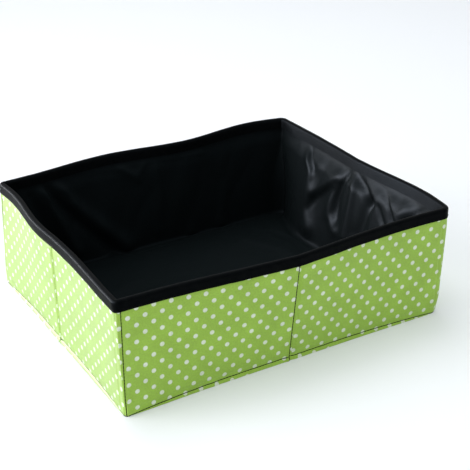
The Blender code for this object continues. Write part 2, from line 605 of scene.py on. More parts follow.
def feed(tree: bpy.types.NodeTree, node: bpy.types.Node, inputs: dict[str | int, object]) -> None:
    """Gives a node its inputs.

    Args:
        tree: The material's nodes.
        node: The node.
        inputs: For each named or numbered input a value, a socket to link, or a node whose first
            live output is linked.
    """
    for name, value in inputs.items():
        source = value
        if isinstance(value, bpy.types.Node):
            source = next(socket for socket in value.outputs if socket.enabled)
        if isinstance(source, bpy.types.NodeSocket):
            tree.links.new(source, node.inputs[name])
        else:
            node.inputs[name].default_value = source


def add_node(
    tree: bpy.types.NodeTree,
    kind: str,
    inputs: dict[str | int, object] | None = None,
    **settings: object,
) -> bpy.types.Node:
    """Adds a node.

    Args:
        tree: The material's nodes.
        kind: The node's type, without its ShaderNode prefix.
        inputs: What to feed it.
        **settings: The node's own properties.

    Returns:
        The node.
    """
    node = tree.nodes.new(f"ShaderNode{kind}")
    for name, value in settings.items():
        setattr(node, name, value)
    feed(tree, node, inputs or {})
    return node


@dataclass(frozen=True)
class Finish:
    """A real material: its name, the record's slot and its typical values."""

    name: str
    slot: str
    colour: str
    roughness: float
    ior: float = 1.5
    sheen: float = 0.0
    sheen_roughness: float = 0.5
    sheen_tint: str = "#FFFFFF"
    specular_tint: str = "#FFFFFF"

    def material(self) -> bpy.types.Material:
        """Makes the Blender material, once.

        Returns:
            The material.
        """
        made = bpy.data.materials.get(self.name)
        if made:
            return made
        made = bpy.data.materials.new(self.name)
        made.use_nodes = True
        tree = made.node_tree
        shader = tree.nodes["Principled BSDF"]
        values = {
            "Base Color": linear(self.colour),
            "Roughness": self.roughness,
            "Metallic": 0.0,
            "IOR": self.ior,
            "Sheen Weight": self.sheen,
            "Sheen Roughness": self.sheen_roughness,
            "Sheen Tint": linear(self.sheen_tint),
            "Specular Tint": linear(self.specular_tint),
        }
        feed(tree, shader, values)
        made.diffuse_color = linear(self.colour)
        self.detail(tree, shader)
        return made

    def detail(self, tree: bpy.types.NodeTree, shader: bpy.types.Node) -> None:
        """Adds what the surface shows; plain here."""


@dataclass(frozen=True)
class PrintedCanvas(Finish):
    """Plain-woven polyester canvas, printed with pale dots: matt, a little hairy, faintly uneven.

    The dots stand in two square sets, each at the middles of the other's squares.
    """

    dot: str = "#E6F0D8"
    dot_radius: float = 0.0025
    dot_edge: float = 0.0004
    pitch_across: float = 0.01805
    pitch_up: float = 0.01841
    # A real thread is 0.5 mm apart; it is drawn at 1.1 mm, which the render can just show.
    thread_spacing: float = 0.0011
    weave_height: float = 0.00010
    cloud_size: float = 0.030
    cloud_detail: float = 2.0
    fleck_size: float = 0.0018
    fleck_detail: float = 1.0
    # Where the sum of the two noises lies, and the dye's shades at its ends.
    noise_span: tuple[float, float] = (0.6, 1.4)
    shades: tuple[float, float] = (0.85, 1.14)

    def detail(self, tree: bpy.types.NodeTree, shader: bpy.types.Node) -> None:
        """Prints the dots, mottles the dye and weaves the surface.

        Args:
            tree: The material's nodes.
            shader: Its shader.
        """
        cloth = add_node(tree, "UVMap", uv_map=PRINT_MAP)
        pitch = (self.pitch_across, self.pitch_up, 1)
        middle = (0.5, 0.5, 0.5)
        steps = add_node(tree, "VectorMath", {0: cloth, 1: pitch}, operation="DIVIDE")
        nearest = {}
        for dots, shift in enumerate((middle, (0, 0, 0.5))):
            spot = add_node(tree, "VectorMath", {0: steps, 1: shift}, operation="ADD")
            spot = add_node(tree, "VectorMath", {0: spot}, operation="FRACTION")
            spot = add_node(tree, "VectorMath", {0: spot, 1: middle}, operation="SUBTRACT")
            spot = add_node(tree, "VectorMath", {0: spot, 1: pitch}, operation="MULTIPLY")
            nearest[dots] = add_node(tree, "VectorMath", {0: spot}, operation="LENGTH")
        edge = {
            "Value": add_node(tree, "Math", nearest, operation="MINIMUM"),
            "From Min": self.dot_radius + self.dot_edge,
            "From Max": self.dot_radius - self.dot_edge,
        }
        ink = add_node(tree, "MapRange", edge, interpolation_type="SMOOTHSTEP")
        colours = {"Factor": ink, MIX_A: linear(self.colour), MIX_B: linear(self.dot)}
        printed = add_node(tree, "Mix", colours, data_type="RGBA")
        cloud = {"Vector": cloth, "Scale": 1 / self.cloud_size, "Detail": self.cloud_detail}
        fleck = {"Vector": cloth, "Scale": 1 / self.fleck_size, "Detail": self.fleck_detail}
        clouds = add_node(tree, "TexNoise", cloud)
        flecks = add_node(tree, "TexNoise", fleck)
        tones = {
            "Value": add_node(tree, "Math", {0: clouds, 1: flecks}, operation="ADD"),
            "From Min": self.noise_span[0],
            "From Max": self.noise_span[1],
            "To Min": self.shades[0],
            "To Max": self.shades[1],
        }
        shade = add_node(tree, "MapRange", tones)
        dyed = add_node(tree, "HueSaturation", {"Value": shade, "Color": printed})
        feed(tree, shader, {"Base Color": dyed})
        add_weave(tree, shader, cloth, self.thread_spacing, self.weave_height)


def add_weave(
    tree: bpy.types.NodeTree,
    shader: bpy.types.Node,
    cloth: bpy.types.Node,
    spacing: float,
    height: float,
) -> None:
    """Bumps a plain weave, threads across and up, on the print map.

    Args:
        tree: The material's nodes.
        shader: Its shader.
        cloth: The node that gives the print map.
        spacing: How far apart the threads are.
        height: How high they stand.
    """
    threads = {"Vector": cloth, "Scale": WAVE_SCALE / spacing, "Distortion": WEAVE_WAVER}
    waves = {}
    for place, direction in enumerate(("X", "Y")):
        wave = add_node(tree, "TexWave", threads, bands_direction=direction)
        waves[place] = wave.outputs["Fac"]
    woven = add_node(tree, "Math", waves, operation="MULTIPLY")
    bump = add_node(tree, "Bump", {"Height": woven, "Strength": 0.5, "Distance": height})
    feed(tree, shader, {"Normal": bump})


@dataclass(frozen=True)
class RibbedTape(Finish):
    """Black polypropylene binding: dull, ribbed across, with a bloom of grey where light rakes."""

    rib_spacing: float = 0.0013
    rib_height: float = 0.00015
    worn: str = "#070808"
    wear_size: float = 0.006
    wear_detail: float = 4.0
    wear_span: tuple[float, float] = (0.35, 0.75)

    def detail(self, tree: bpy.types.NodeTree, shader: bpy.types.Node) -> None:
        """Ribs the tape and greys it in small patches.

        Args:
            tree: The material's nodes.
            shader: Its shader.
        """
        cloth = add_node(tree, "UVMap", uv_map=PRINT_MAP)
        wear = {"Vector": cloth, "Scale": 1 / self.wear_size, "Detail": self.wear_detail}
        patches = add_node(tree, "TexNoise", wear)
        low, high = self.wear_span
        share = add_node(tree, "MapRange", {"Value": patches, "From Min": low, "From Max": high})
        colours = {"Factor": share, MIX_A: linear(self.colour), MIX_B: linear(self.worn)}
        feed(tree, shader, {"Base Color": add_node(tree, "Mix", colours, data_type="RGBA")})
        add_weave(tree, shader, cloth, self.rib_spacing, self.rib_height)


@dataclass(frozen=True)
class CoatedTaffeta(Finish):
    """Waterproof nylon taffeta, coated: blue-black and satin, finely crushed where it was packed."""

    crush_size: float = 0.026
    crush_detail: float = 3.0
    crush_twist: float = 0.8
    crush_height: float = 0.0007
    crush_strength: float = 0.6
    grain_size: float = 0.0035
    grain_detail: float = 2.0
    grain_height: float = 0.00015
    grain_strength: float = 0.4
    dull: float = 0.55

    def detail(self, tree: bpy.types.NodeTree, shader: bpy.types.Node) -> None:
        """Crushes the cloth and varies its gloss.

        Args:
            tree: The material's nodes.
            shader: Its shader.
        """
        cloth = add_node(tree, "UVMap", uv_map=PRINT_MAP)
        crushed = {
            "Vector": cloth,
            "Scale": 1 / self.crush_size,
            "Detail": self.crush_detail,
            "Distortion": self.crush_twist,
        }
        crush = add_node(tree, "TexNoise", crushed)
        # Folding a noise about its middle leaves sharp creases with soft ground between.
        offset = add_node(tree, "Math", {0: crush, 1: 0.5}, operation="SUBTRACT")
        creases = add_node(tree, "Math", {0: offset}, operation="ABSOLUTE")
        grained = {"Vector": cloth, "Scale": 1 / self.grain_size, "Detail": self.grain_detail}
        grain = add_node(tree, "TexNoise", grained)
        small = {"Height": grain, "Strength": self.grain_strength, "Distance": self.grain_height}
        large = {"Height": creases, "Strength": self.crush_strength, "Distance": self.crush_height}
        fine = add_node(tree, "Bump", small)
        coarse = add_node(tree, "Bump", large | {"Normal": fine})
        spread = {"Value": grain, "To Min": self.roughness, "To Max": self.dull}
        feed(tree, shader, {"Normal": coarse, "Roughness": add_node(tree, "MapRange", spread)})


@dataclass(frozen=True)
class FibreSheet(Finish):
    """Board or spunbond cloth: matt, with fibres a tone lighter than the ground."""

    fibre: str = "#FFFFFF"
    fibre_size: float = 0.0015
    fibre_detail: float = 3.0
    fibre_tangle: float = 2.0
    fibre_span: tuple[float, float] = (0.45, 0.75)
    fibre_height: float = 0.00008

    def detail(self, tree: bpy.types.NodeTree, shader: bpy.types.Node) -> None:
        """Scatters the fibres and raises them.

        Args:
            tree: The material's nodes.
            shader: Its shader.
        """
        place = add_node(tree, "TexCoord").outputs["Object"]
        tangled = {
            "Vector": place,
            "Scale": 1 / self.fibre_size,
            "Detail": self.fibre_detail,
            "Distortion": self.fibre_tangle,
        }
        fibres = add_node(tree, "TexNoise", tangled)
        low, high = self.fibre_span
        share = add_node(tree, "MapRange", {"Value": fibres, "From Min": low, "From Max": high})
        colours = {"Factor": share, MIX_A: linear(self.colour), MIX_B: linear(self.fibre)}
        tone = add_node(tree, "Mix", colours, data_type="RGBA")
        raised = {"Height": fibres, "Strength": 0.5, "Distance": self.fibre_height}
        feed(tree, shader, {"Base Color": tone, "Normal": add_node(tree, "Bump", raised)})


@dataclass(frozen=True)
class SpunThread(Finish):
    """Twisted polyester sewing thread: a soft shine broken by its twist."""

    twist: float = 0.0006
    twist_height: float = 0.00006

    def detail(self, tree: bpy.types.NodeTree, shader: bpy.types.Node) -> None:
        """Twists the thread.

        Args:
            tree: The material's nodes.
            shader: Its shader.
        """
        place = add_node(tree, "TexCoord").outputs["Object"]
        turns = {"Vector": place, "Scale": WAVE_SCALE / self.twist}
        wave = add_node(tree, "TexWave", turns, bands_direction="DIAGONAL").outputs["Fac"]
        raised = {"Height": wave, "Strength": 0.5, "Distance": self.twist_height}
        feed(tree, shader, {"Normal": add_node(tree, "Bump", raised)})


# Fresh grass green, matt, with a pale bloom where it is seen at a slant.
CANVAS = PrintedCanvas(
    "printed_polyester_canvas", "printed_cloth", "#9EC642", 0.60, sheen=0.30, sheen_tint="#FAFFEE"
)
# The same cloth under the box, where its bloom is plain white.
BOTTOM_CANVAS = PrintedCanvas(
    "printed_polyester_canvas_bottom", "bottom_cloth", "#9EC642", 0.60, sheen=0.30
)
# A near-black edge with a cold, weak shine that draws the rim.
TAPE = RibbedTape(
    "ribbed_polypropylene_tape", "binding_tape", "#020303", 0.50, ior=1.095, specular_tint="#D2E6FF"
)
# Deep blue-black, with satin lights along its folds.
TAFFETA = CoatedTaffeta(
    "coated_nylon_taffeta", "liner_cloth", "#0D1213", 0.44, ior=1.11, specular_tint="#DDE9FC"
)
# Flat, felt-like black behind the bag.
SPUNBOND = FibreSheet("spunbond_polypropylene", "backing_cloth", "#141416", 0.90, fibre="#2A2A2D")
# Warm, dull grey with paler flecks.
GREYBOARD = FibreSheet("grey_cardboard", "stiffener_board", "#A9A498", 0.80, fibre="#BDB8AC")
# The seams' thread: near black-green, real thread that also paints the shade in their grooves.
SEAM_THREAD_AND_SHADOW = SpunThread("polyester_thread_and_seam_shadow", "printed_cloth", "#182207", 0.70, ior=1.1)
# The thread along the tape's hem, black like the tape.
BLACK_THREAD = SpunThread("polyester_thread_black", "binding_tape", "#050606", 0.50, ior=1.1)


@dataclass(frozen=True)
class PrintLay:
    """How the print lies on half a wall: where one of its dots is, and its turn in degrees."""

    u: float
    z: float
    turn: float

    def at(self, stop: Stop, z: float) -> tuple[float, float]:
        """The print map of a place on the wall.

        Args:
            stop: The place along the wall.
            z: The height.

        Returns:
            How far across and up the print it is, in metres.
        """
        angle = math.radians(self.turn)
        along, up = stop.u - self.u, z - self.z
        return (
            along * math.cos(angle) + up * math.sin(angle),
            up * math.cos(angle) - along * math.sin(angle),
        )


# The cloth was cut a few degrees off its print, and each sewn fold takes up a little of it.
PRINT_LAYS = {
    (Side.FRONT, False): PrintLay(-0.0954, 0.0662, -3.9),
    (Side.FRONT, True): PrintLay(0.0954, 0.0600, -4.1),
    (Side.RIGHT, False): PrintLay(-0.0790, 0.0610, -2.0),
    (Side.RIGHT, True): PrintLay(0.0830, 0.0580, -2.4),
    (Side.BACK, False): PrintLay(-0.1010, 0.0570, 1.6),
    (Side.BACK, True): PrintLay(0.0960, 0.0640, 1.2),
    (Side.LEFT, False): PrintLay(-0.0810, 0.0560, -1.2),
    (Side.LEFT, True): PrintLay(0.0790, 0.0620, -1.6),
}


def wall_print(stop: Stop, z: float) -> tuple[float, float]:
    """The print map of a place on the walls."""
    return PRINT_LAYS[(stop.side, stop.u > 0)].at(stop, z)


def plain_print(stop: Stop, z: float) -> tuple[float, float]:
    """A print map that runs straight along the ring."""
    return (stop.u + stop.side.value, z)


@dataclass(frozen=True)
class RingCloth:
    """A cloth that goes round the ring of walls, and the layer of solids that it stands for."""

    name: str
    layer: str
    finish: Finish
    thickness: float
    pace: Pace

    def lay(
        self,
        rows: Sequence[float],
        point: Callable[[Stop, float], Vector],
        print_at: Callable[[Stop, float], tuple[float, float]],
        height: float,
    ) -> list[bpy.types.Object]:
        """Makes the cloth as eight stretches of the ring.

        Args:
            rows: The value that each row has.
            point: Gives the place of a stop and row.
            print_at: Gives the print map of a stop and row.
            height: The cloth's cut height; not used.

        Returns:
            The pieces.
        """
        made = []
        for stretch in STRETCHES:
            columns = self.pace.walk(stretch)
            sheet = lay_grid(columns, rows, point, print_at)
            piece = new_piece(f"{self.name}_{stretch.name}", sheet, self.finish)
            thicken(piece, self.thickness)
            stretch.mount(piece)
            if stretch.nodes:
                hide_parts(*(f"{self.layer}_{node}" for node in stretch.nodes))
            points = [BOX.place(stop, 0.0, BOX.height / 2) for stop in columns]
            length = sum((b - a).length for a, b in zip(points, points[1:]))
            list(stretch.boards)
            made.append(piece)
        return made


@dataclass(frozen=True)
class PrintedCover:
    """The dotted outer cloth: sewn fins at the corners, fold lines, and a flange at the foot."""

    foot: float = 0.0002
    tuck_height: float = 0.0010
    tuck: float = 0.0005
    # The pinched corner seam lies on each wall's left end; it leans out towards the rim.
    corner_seam_rim: float = 0.0064
    corner_seam_foot: float = 0.0012
    # Beside it, lower down, the pinched corner sinks.
    pinch: float = 0.0008
    pinch_offset: float = 0.0020
    pinch_width: float = 0.0009
    # The front's fold line is sewn askew: where it is at the foot and at the rim.
    fold_line: tuple[float, float] = (-0.0030, 0.0006)
    seam_depth: float = 0.0009
    seam_width: float = 0.0007
    fin_height: float = 0.0004
    fin_edge: float = 0.0006
    ridge: float = 0.0006
    ridge_offset: float = 0.0018
    ridge_width: float = 0.0009
    right_seam: float = 0.0017
    right_seam_depth: float = 0.0005
    band: float = 0.0070
    band_depth: float = 0.0012
    band_top: float = 0.1120
    # The foot seam is highest by the wall's middle and runs out at the corners.
    foot_seam_corner: float = 0.0003
    foot_seam_middle: float = 0.0044
    foot_seam_power: float = 3.0
    flange: float = 0.0019
    board_edge: float = 0.0003
    board_inset: float = 0.0100
    board_from_middle: float = 0.0045
    board_foot: float = 0.0096
    board_fade: float = 0.0012
    wave_height: float = 0.0004
    wave: tuple[float, float] = (0.045, 0.060)
    pucker_height: float = 0.0003
    pucker: tuple[float, float] = (0.009, 0.030)
    tape_fade: float = 0.0040
    # The rows' steps: over the seam along the foot, over the wall, and up to the rim.
    foot_step: float = 0.0004
    plain_from: float = 0.0090
    plain_step: float = 0.0028
    rim_run: float = 0.0030
    rim_step: float = 0.0015
    pace: Pace = Pace(plain=0.0028, corner=0.00055, middle=0.00040)

    def foot_seam(self, stop: Stop) -> float:
        """The height of the seam along the foot.

        Args:
            stop: The place on the ring.

        Returns:
            The height.
        """
        along = abs(stop.u) / BOX.half(stop.side)
        share = 1 - along**self.foot_seam_power
        return mix(self.foot_seam_corner, self.foot_seam_middle, share)

    def corner_seam(self, side: Side, z: float) -> Stop:
        """Where the corner seam on a wall's left end is at a height."""
        along = mix(self.corner_seam_foot, self.corner_seam_rim, z / BOX.height)
        return Stop(side, along - BOX.half(side))

    def fold_seam(self, side: Side, z: float) -> Stop:
        """Where the sewn fold line by a wall's middle is at a height."""
        askew = self.fold_line if side is Side.FRONT else (0.0, 0.0)
        return Stop(side, mix(*askew, z / BOX.height))

    def sewn_lines(self, stop: Stop, z: float) -> float:
        """The relief of the corner seams and the fold line.

        Args:
            stop: The place on the ring.
            z: The height.

        Returns:
            The relief, outwards.
        """
        side, u = stop.side, stop.u
        up = z / BOX.height
        past = u - self.corner_seam(side, z).u
        right = BOX.half(side) - u
        relief = -self.seam_depth * bell(past, self.seam_width)
        relief += self.fin_height * (1 - ease(past / self.fin_edge + 0.5))
        relief += self.ridge * (1 - up) * bell(past - self.ridge_offset, self.ridge_width)
        relief -= self.pinch * (1 - up) * bell(past + self.pinch_offset, self.pinch_width)
        relief -= self.right_seam_depth * bell(right - self.right_seam, self.seam_width)
        off = u - self.fold_seam(side, z).u
        relief -= self.seam_depth * bell(off, self.seam_width)
        relief += self.ridge * bell(off + self.ridge_offset, self.ridge_width)
        if side.long:
            # Past the seam the cloth comes slowly up again from under the fin.
            inside = ease(off / self.fin_edge) * max(0.0, 1 - off / self.band)
            inside *= ease((self.band_top - z) / self.board_foot)
            return relief - self.band_depth * inside
        return relief + self.ridge * bell(off - self.ridge_offset, self.ridge_width)

    def relief(self, stop: Stop, z: float) -> float:
        """How far the cloth stands proud of the box's plain outer face.

        Args:
            stop: The place on the ring.
            z: The height.

        Returns:
            The relief, outwards.
        """
        relief = self.sewn_lines(stop, z)
        seam = self.foot_seam(stop)
        if z < seam:
            relief += self.flange * (seam - z) / self.foot_seam_middle
        relief -= self.seam_depth * bell(z - seam, self.seam_width)
        from_corner = BOX.half(stop.side) - abs(stop.u)
        board = ease((from_corner - self.board_inset) / self.board_fade + 1)
        board *= ease((abs(stop.u) - self.board_from_middle) / self.board_fade + 1)
        board *= ease((z - self.board_foot) / self.board_fade + 1)
        relief += self.board_edge * board
        place = stop.u + stop.side.value
        relief += self.wave_height * board * (0.5 + ripple(place, z, self.wave, CLOTH_NOISE))
        gather = bell(z - seam, self.pucker[1] / 2) + bell(z - LAYERS.tape_foot, self.pucker[1] / 2)
        relief += self.pucker_height * gather * ripple(place, z, self.pucker, PUCKER_NOISE)
        under_tape = ease((z - LAYERS.tape_foot) / self.tape_fade + 1)
        relief -= max(relief, 0.0) * under_tape
        return relief - self.tuck * (1 - min(1.0, z / self.tuck_height)) ** 2

    def point(self, stop: Stop, z: float) -> Vector:
        """A point on the cloth's outer face."""
        return BOX.place(stop, -self.relief(stop, z), z)

    def build(self) -> list[bpy.types.Object]:
        """Makes the cloth, with its closest rows over the seam along the foot.

        Returns:
            Its eight stretches.
        """
        marks = (
            (self.foot, self.foot_step),
            (self.plain_from, self.plain_step),
            (LAYERS.tape_foot - self.rim_run, self.rim_step),
        )
        rows = levels(marks, LAYERS.wall_top)
        cloth = RingCloth("canvas", "cover", CANVAS, LAYERS.cover, self.pace)
        return cloth.lay(rows, self.point, wall_print, rows[-1] - rows[0])


@dataclass(frozen=True)
class Backing:
    """The inner cloth that shuts the boards' pockets; it rounds the corners behind the liner."""

    foot: float = 0.0014
    step: float = 0.0150
    pace: Pace = Pace(plain=0.0120, corner=0.0012, middle=0.0012)

    def point(self, stop: Stop, z: float) -> Vector:
        """A point on the cloth's outer face."""
        return BOX.place(stop, LAYERS.backing_depth, z)

    def build(self) -> list[bpy.types.Object]:
        """Makes the cloth.

        Returns:
            Its eight stretches.
        """
        rows = levels(((self.foot, self.step),), LAYERS.wall_top)
        cloth = RingCloth("pocket_cloth", "backing", SPUNBOND, LAYERS.backing, self.pace)
        return cloth.lay(rows, self.point, plain_print, rows[-1] - rows[0])


@dataclass(frozen=True)
class Flap:
    """The tape's inner flap, which the slumping bag draws off the walls towards its hem."""

    long_wall: float = 0.0012
    short_wall: float = 0.0030
    corner: float = 0.0012
    corner_run: float = 0.030

    def tilt(self, stop: Stop, z: float) -> float:
        """How far the flap is off the wall.

        Args:
            stop: The place on the ring.
            z: The height.

        Returns:
            The distance.
        """
        wall = self.long_wall if stop.side.long else self.short_wall
        clear = ease((BOX.half(stop.side) - abs(stop.u)) / self.corner_run)
        down = min(1.0, max(0.0, (LAYERS.wall_top - z) / (LAYERS.wall_top - LAYERS.tape_foot)))
        return mix(self.corner, wall, clear) * down


FLAP = Flap()


@dataclass(frozen=True)
class RimTape:
    """Binding folded over the rim: down both faces, with a rounded top and a slack, wavy hem."""

    shoulder: float = 0.0034
    side_steps: int = 4
    crown_steps: int = 6
    crown_power: float = 0.8
    wave_height: float = 0.00025
    wave: tuple[float, float] = (0.020, 0.012)
    hem_wave: float = 0.0004
    hem_size: tuple[float, float] = (0.028, 1.0)
    lap_u: float = -0.0600
    lap_width: float = 0.014
    lap_height: float = 0.0005
    lap_edge: float = 0.0010
    pace: Pace = Pace(plain=0.0030, corner=0.0008, middle=0.00055)

    def profile(self) -> list[tuple[float, float]]:
        """Draws the tape's cross-section.

        Returns:
            Its points' depths and heights, from the outer hem over the rim to the inner one.
        """
        outer, inner = LAYERS.tape_outer_depth, LAYERS.tape_inner_depth
        side = BOX.height - self.shoulder
        shares = [step / self.side_steps for step in range(self.side_steps + 1)]
        rows = [(outer, mix(LAYERS.tape_foot, side, share)) for share in shares[:-1]]
        middle = (outer + inner) / 2
        for step in range(2 * self.crown_steps + 1):
            angle = math.pi * step / (2 * self.crown_steps)
            across = middle - (middle - outer) * math.cos(angle)
            rows.append((across, side + self.shoulder * math.sin(angle) ** self.crown_power))
        return rows + [(inner, mix(side, LAYERS.tape_foot, share)) for share in shares[1:]]

    def build(self) -> list[bpy.types.Object]:
        """Makes the tape.

        Returns:
            Its eight stretches.
        """
        profile = self.profile()
        middle = (LAYERS.tape_outer_depth + LAYERS.tape_inner_depth) / 2
        run = [0.0]
        for (depth, z), (next_depth, next_z) in zip(profile, profile[1:]):
            run.append(run[-1] + math.hypot(next_depth - depth, next_z - z))

        def point(stop: Stop, row: float) -> Vector:
            """A point on the tape, with its slack, its wavy hems and its lap.

            Args:
                stop: The place on the ring.
                row: Which point of the cross-section.

            Returns:
                The point in the frame.
            """
            depth, z = profile[round(row)]
            place = stop.u + stop.side.value
            slack = self.wave_height * ripple(place, z, self.wave, TAPE_NOISE)
            inwards = -1 if depth < middle else 1
            high = ease((z - LAYERS.tape_foot) / self.shoulder)
            low = self.hem_wave * (1 - high) * ripple(place, 0.0, self.hem_size, inwards)
            lap = 0.0
            if stop.side is Side.FRONT:
                lap = self.lap_height * ease((self.lap_u - stop.u) / self.lap_edge + 0.5)
                lap *= 1 - ease((self.lap_u - self.lap_width - stop.u) / self.lap_edge + 0.5)
            shift = inwards * (max(0.0, slack) + lap * (1 if inwards < 0 else 0))
            drop = slack * (z > BOX.height - self.shoulder)
            if inwards > 0:
                shift += FLAP.tilt(stop, z)
            return BOX.place(stop, depth + shift, z + low + min(0.0, drop))

        def print_at(stop: Stop, row: float) -> tuple[float, float]:
            """The print map of a place on the tape."""
            return (stop.u + stop.side.value, run[round(row)])

        cloth = RingCloth("binding", "rim_tape", TAPE, LAYERS.tape, self.pace)
        rows = [float(row) for row in range(len(profile))]
        return cloth.lay(rows, point, print_at, run[-1])


# Gives the stop of a seam that rises up a wall, at a height.
SeamPath = Callable[[Side, float], Stop]


@dataclass(frozen=True)
class Stitching:
    """Lockstitch in the seams' grooves; the cover's dark thread also paints the grooves' shade."""

    pitch: float = 0.0036
    # Longer than the pitch and thick: the seams' thread paints one unbroken line of shade.
    length: float = 0.0056
    radius: float = 0.00070
    segments: tuple[int, int] = (6, 4)
    tape_hem: float = 0.0020
    tape_sink: float = 0.0003

    def lay(
        self, name: str, finish: Finish, places: Sequence[tuple[Stop, Vector, Vector, Vector]]
    ) -> list[bpy.types.Object]:
        """Makes the stitches, grouped by the stretch that they move with.

        Args:
            name: What the pieces' names start with.
            finish: The thread's finish.
            places: Each stitch's stop, middle, run and outward direction.

        Returns:
            The pieces.
        """
        made = []
        for stretch in STRETCHES:
            held = [place for place in places if stretch.holds(place[0])]
            if not held:
                continue
            shape = bmesh.new()
            for _, middle, run, outwards in held:
                across = run.cross(outwards).normalized()
                frame_matrix = Matrix((run.normalized(), across, outwards)).transposed().to_4x4()
                stretch_matrix = Matrix.Diagonal((self.length / 2 / self.radius, 1, 1, 1))
                bmesh.ops.create_uvsphere(
                    shape,
                    u_segments=self.segments[0],
                    v_segments=self.segments[1],
                    radius=self.radius,
                    matrix=Matrix.Translation(middle) @ frame_matrix @ stretch_matrix,
                )
            for face in shape.faces:
                face.smooth = True
            piece = new_piece(f"{name}_{stretch.name}", shape, finish)
            stretch.mount(piece)
            made.append(piece)
        return made

    def along(
        self, path: Callable[[float], tuple[Stop, Vector]], length: float
    ) -> list[tuple[Stop, Vector, Vector, Vector]]:
        """Spaces stitches along a path.

        Args:
            path: Gives the stop and the point at a distance along it.
            length: How long it is.

        Returns:
            Each stitch's stop, middle, run and outward direction.
        """
        found = []
        count = int(length / self.pitch)
        for index in range(count):
            at = (index + 0.5) * length / count
            stop, middle = path(at)
            _, before = path(at - self.length / 2)
            _, after = path(at + self.length / 2)
            turn = Matrix.Rotation(stop.side.value * math.pi / 2, 3, "Z")
            outwards = turn @ Vector((0, -1, 0))
            run = after - before
            outwards = (outwards - run * outwards.dot(run) / run.length_squared).normalized()
            found.append((stop, middle, run, outwards))
        return found

    def build(self, cover: PrintedCover) -> list[bpy.types.Object]:
        """Sews the corner seams, the fold lines, the foot and the tape.

        Args:
            cover: The cloth that the seams are in.

        Returns:
            The threads.
        """
        hem_height = LAYERS.tape_foot + self.tape_hem
        hem_depth = LAYERS.tape_outer_depth + self.tape_sink
        green = []
        black = []
        for side in Side:
            half = BOX.half(side)
            for seam in (cover.corner_seam, cover.fold_seam):

                def rise(at: float, side: Side = side, seam: SeamPath = seam) -> tuple[Stop, Vector]:
                    """Up a corner seam or a fold line."""
                    stop = seam(side, at)
                    return stop, cover.point(stop, at)

                green += self.along(rise, LAYERS.tape_foot)

            def foot(at: float, side: Side = side, half: float = half) -> tuple[Stop, Vector]:
                """Along the foot seam."""
                stop = Stop(side, at - half)
                return stop, cover.point(stop, cover.foot_seam(stop))

            def hem(at: float, side: Side = side, half: float = half) -> tuple[Stop, Vector]:
                """Along the tape's outer hem."""
                stop = Stop(side, at - half)
                return stop, BOX.place(stop, hem_depth, hem_height)

            green += self.along(foot, 2 * half)
            black += self.along(hem, 2 * half)
        # The seams' thread, which also paints the shade in their grooves.
        made = self.lay("seam_thread_and_shadow", SEAM_THREAD_AND_SHADOW, green)
        return made + self.lay("hem_thread", BLACK_THREAD, black)


@dataclass(frozen=True)
class Cut:
    """The size a part of the bag was cut to, and the share of its depth left in the folded box."""

    flat: tuple[float, float]
    keep: float


# The bag is cut to the box's plan and its height; its floor is cut smaller, inside the slump.
LONG_CUT = Cut((0.390, 0.130), 0.10)
SHORT_CUT = Cut((0.1625, 0.130), 0.08)
FLOOR_CUT = Cut((0.335, 0.290), 0.02)


@dataclass(frozen=True)
class LinerPart:
    """A part of the liner bag: its body, its wall and which half of it, what holds it, its cut.

    The floor has no wall, and half 0 is a whole wall.
    """

    name: str
    body: str
    side: Side | None
    half: int
    carrier: str
    cut: Cut

    @property
    def nodes(self) -> tuple[str, ...]:
        """The solids that it stands for."""
        if self.side is Side.BACK:
            return ("liner_back_right", "liner_back_left")
        return (f"liner_{self.name}",)

    @property
    def axis(self) -> tuple[float, float, float]:
        """The way that the part crumples as the tray folds."""
        return (1, 0, 0) if self.half else (0, 1, 0)

    @property
    def anchor(self) -> tuple[float, float, float]:
        """The place that it crumples towards."""
        wall = self.side or Side.FRONT
        reach = BOX.reach(wall) - LAYERS.liner_depth
        place = Matrix.Rotation(wall.value * math.pi / 2, 3, "Z") @ Vector((0, -reach, 0))
        return tuple(place)


class LinerPlace(Enum):
    """The parts of the bag."""

    FRONT = LinerPart("front", "front", Side.FRONT, 0, "binding_front", LONG_CUT)
    RIGHT_FRONT = LinerPart(
        "right_front", "right_front", Side.RIGHT, -1, "binding_right_middle", SHORT_CUT
    )
    RIGHT_BACK = LinerPart(
        "right_back", "right_back", Side.RIGHT, 1, "binding_right_middle", SHORT_CUT
    )
    BACK = LinerPart("back", "back_right", Side.BACK, 0, "binding_back", LONG_CUT)
    LEFT_BACK = LinerPart("left_back", "left_back", Side.LEFT, -1, "binding_left_middle", SHORT_CUT)
    LEFT_FRONT = LinerPart(
        "left_front", "left_front", Side.LEFT, 1, "binding_left_middle", SHORT_CUT
    )
    FLOOR = LinerPart("floor", "front", None, 0, "bottom_cloth", FLOOR_CUT)


@dataclass(frozen=True)
class Fold:
    """A soft fold along a bent line, in millimetres: a ridge if its height is positive.

    The line is in the sheet's own two coordinates. Width and strength run from the line's start
    to its end.
    """

    line: tuple[tuple[float, float], ...]
    height: float
    width: tuple[float, float]
    strength: tuple[float, float] = (1.0, 0.3)

    def lift(self, place: Vector) -> float:
        """How far the fold lifts the sheet.

        Args:
            place: A place in the sheet's own coordinates, in metres.

        Returns:
            The lift there, in metres.
        """
        spot = place / MILLIMETRE
        best = math.inf
        share = 0.0
        steps = len(self.line) - 1
        for step in range(steps):
            start, end = Vector(self.line[step]), Vector(self.line[step + 1])
            run = end - start
            along = min(1.0, max(0.0, (spot - start).dot(run) / run.length_squared))
            distance = (spot - start - run * along).length
            if distance < best:
                best = distance
                share = (step + along) / steps
        width = mix(*self.width, share)
        if best > FOLD_REACH * width:
            return 0.0
        return MILLIMETRE * self.height * mix(*self.strength, share) * bell(best, width)


